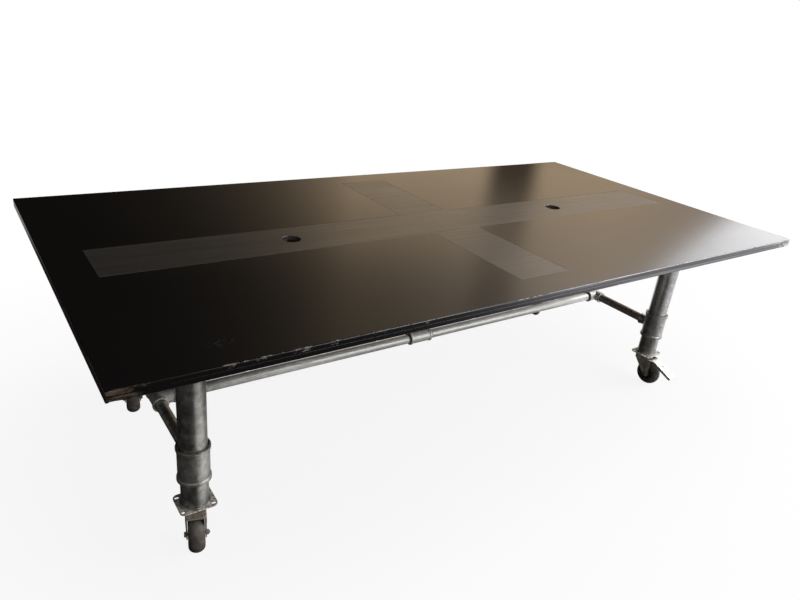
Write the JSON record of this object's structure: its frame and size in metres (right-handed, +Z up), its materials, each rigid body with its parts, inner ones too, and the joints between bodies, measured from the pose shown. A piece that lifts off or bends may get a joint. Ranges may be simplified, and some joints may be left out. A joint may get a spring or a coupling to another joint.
{
  "type": "four-person office desk",
  "caption": "Long office desk for shared seating: black top with flush timber strips and cable holes, on a galvanised pipe frame with swivel casters.",
  "frame": {"origin": "on the floor under the middle of the top", "axes": "+X along the length to the end with the brakes, +Y from the near edge to the far edge, +Z up"},
  "size_m": [2.44, 1.22, 0.715],
  "materials": {
    "black_board": "black satin paint on board, worn to bare wood at the arrises",
    "stained_timber": "black-stained open grain, low sheen",
    "galvanised_pipe": "dull mottled zinc on steel pipe",
    "galvanised_casting": "dull zinc on malleable iron",
    "zinc_plate": "dirty yellowed zinc on pressed steel",
    "bright_steel": "bright zinc",
    "grey_rubber": "matt dark grey",
    "wheel_core": "moulded grey"
  },
  "bodies": {
    "frame": {"top_board": "black_board", "base_board": "black_board", "centre_inlay": "stained_timber", "near_cross_inlay": "stained_timber", "far_cross_inlay": "stained_timber", "leg_flange_near_left": "galvanised_casting", "leg_pipe_near_left": "galvanised_pipe", "leg_tee_near_left": "galvanised_casting", "leg_foot_near_left": "galvanised_pipe", "cross_rail_near_left": "galvanised_pipe", "caster_plate_near_left": "zinc_plate", "leg_flange_near_right": "galvanised_casting", "leg_pipe_near_right": "galvanised_pipe", "leg_tee_near_right": "galvanised_casting", "leg_foot_near_right": "galvanised_pipe", "cross_rail_near_right": "galvanised_pipe", "caster_plate_near_right": "zinc_plate", "leg_flange_far_left": "galvanised_casting", "leg_pipe_far_left": "galvanised_pipe", "leg_tee_far_left": "galvanised_casting", "leg_foot_far_left": "galvanised_pipe", "cross_rail_far_left": "galvanised_pipe", "caster_plate_far_left": "zinc_plate", "leg_flange_far_right": "galvanised_casting", "leg_pipe_far_right": "galvanised_pipe", "leg_tee_far_right": "galvanised_casting", "leg_foot_far_right": "galvanised_pipe", "cross_rail_far_right": "galvanised_pipe", "caster_plate_far_right": "zinc_plate", "centre_tee_left": "galvanised_casting", "centre_tee_right": "galvanised_casting", "long_rail_left": "galvanised_pipe", "long_rail_right": "galvanised_pipe", "rail_coupling": "galvanised_casting"},
    "caster_near_left": {"caster_fork_near_left": "zinc_plate", "swivel_balls_near_left": "bright_steel", "axle_bolt_near_left": "bright_steel", "axle_nut_near_left": "bright_steel"},
    "wheel_near_left": {"wheel_core_near_left": "wheel_core", "wheel_tyre_near_left": "grey_rubber"},
    "caster_near_right": {"caster_fork_near_right": "zinc_plate", "swivel_balls_near_right": "bright_steel", "axle_bolt_near_right": "bright_steel", "axle_nut_near_right": "bright_steel"},
    "wheel_near_right": {"wheel_core_near_right": "wheel_core", "wheel_tyre_near_right": "grey_rubber"},
    "pedal_near_right": {"brake_pedal_near_right": "bright_steel"},
    "caster_far_left": {"caster_fork_far_left": "zinc_plate", "swivel_balls_far_left": "bright_steel", "axle_bolt_far_left": "bright_steel", "axle_nut_far_left": "bright_steel"},
    "wheel_far_left": {"wheel_core_far_left": "wheel_core", "wheel_tyre_far_left": "grey_rubber"},
    "caster_far_right": {"caster_fork_far_right": "zinc_plate", "swivel_balls_far_right": "bright_steel", "axle_bolt_far_right": "bright_steel", "axle_nut_far_right": "bright_steel"},
    "wheel_far_right": {"wheel_core_far_right": "wheel_core", "wheel_tyre_far_right": "grey_rubber"},
    "pedal_far_right": {"brake_pedal_far_right": "bright_steel"}
  },
  "joints": [
    {"name": "swivel_near_left", "type": "hinge", "parent": "frame", "child": "caster_near_left", "pos_m": [-0.975, -0.3115, 0.12], "axis": [0, 0, 1], "continuous": true},
    {"name": "roll_near_left", "type": "hinge", "parent": "caster_near_left", "child": "wheel_near_left", "pos_m": [-0.98552, -0.34593, 0.05003], "axis": [0.9563, -0.2924, 0], "continuous": true},
    {"name": "swivel_near_right", "type": "hinge", "parent": "frame", "child": "caster_near_right", "pos_m": [0.975, -0.3115, 0.12], "axis": [0, 0, 1], "continuous": true},
    {"name": "roll_near_right", "type": "hinge", "parent": "caster_near_right", "child": "wheel_near_right", "pos_m": [0.975, -0.3475, 0.05003], "axis": [1, 0, 0], "continuous": true},
    {"name": "brake_near_right", "type": "hinge", "parent": "caster_near_right", "child": "pedal_near_right", "pos_m": [0.975, -0.3515, 0.11203], "axis": [-1, 0, 0], "range_deg": [0, 15]},
    {"name": "swivel_far_left", "type": "hinge", "parent": "frame", "child": "caster_far_left", "pos_m": [-0.975, 0.3315, 0.12], "axis": [0, 0, 1], "continuous": true},
    {"name": "roll_far_left", "type": "hinge", "parent": "caster_far_left", "child": "wheel_far_left", "pos_m": [-0.96752, 0.36671, 0.05003], "axis": [-0.9781, 0.2079, 0], "continuous": true},
    {"name": "swivel_far_right", "type": "hinge", "parent": "frame", "child": "caster_far_right", "pos_m": [0.975, 0.3315, 0.12], "axis": [0, 0, 1], "continuous": true},
    {"name": "roll_far_right", "type": "hinge", "parent": "caster_far_right", "child": "wheel_far_right", "pos_m": [1.00258, 0.35464, 0.05003], "axis": [-0.6428, 0.766, 0], "continuous": true},
    {"name": "brake_far_right", "type": "hinge", "parent": "caster_far_right", "child": "pedal_far_right", "pos_m": [1.00564, 0.35721, 0.11203], "axis": [0.6428, -0.766, 0], "range_deg": [0, 15]}
  ]
}
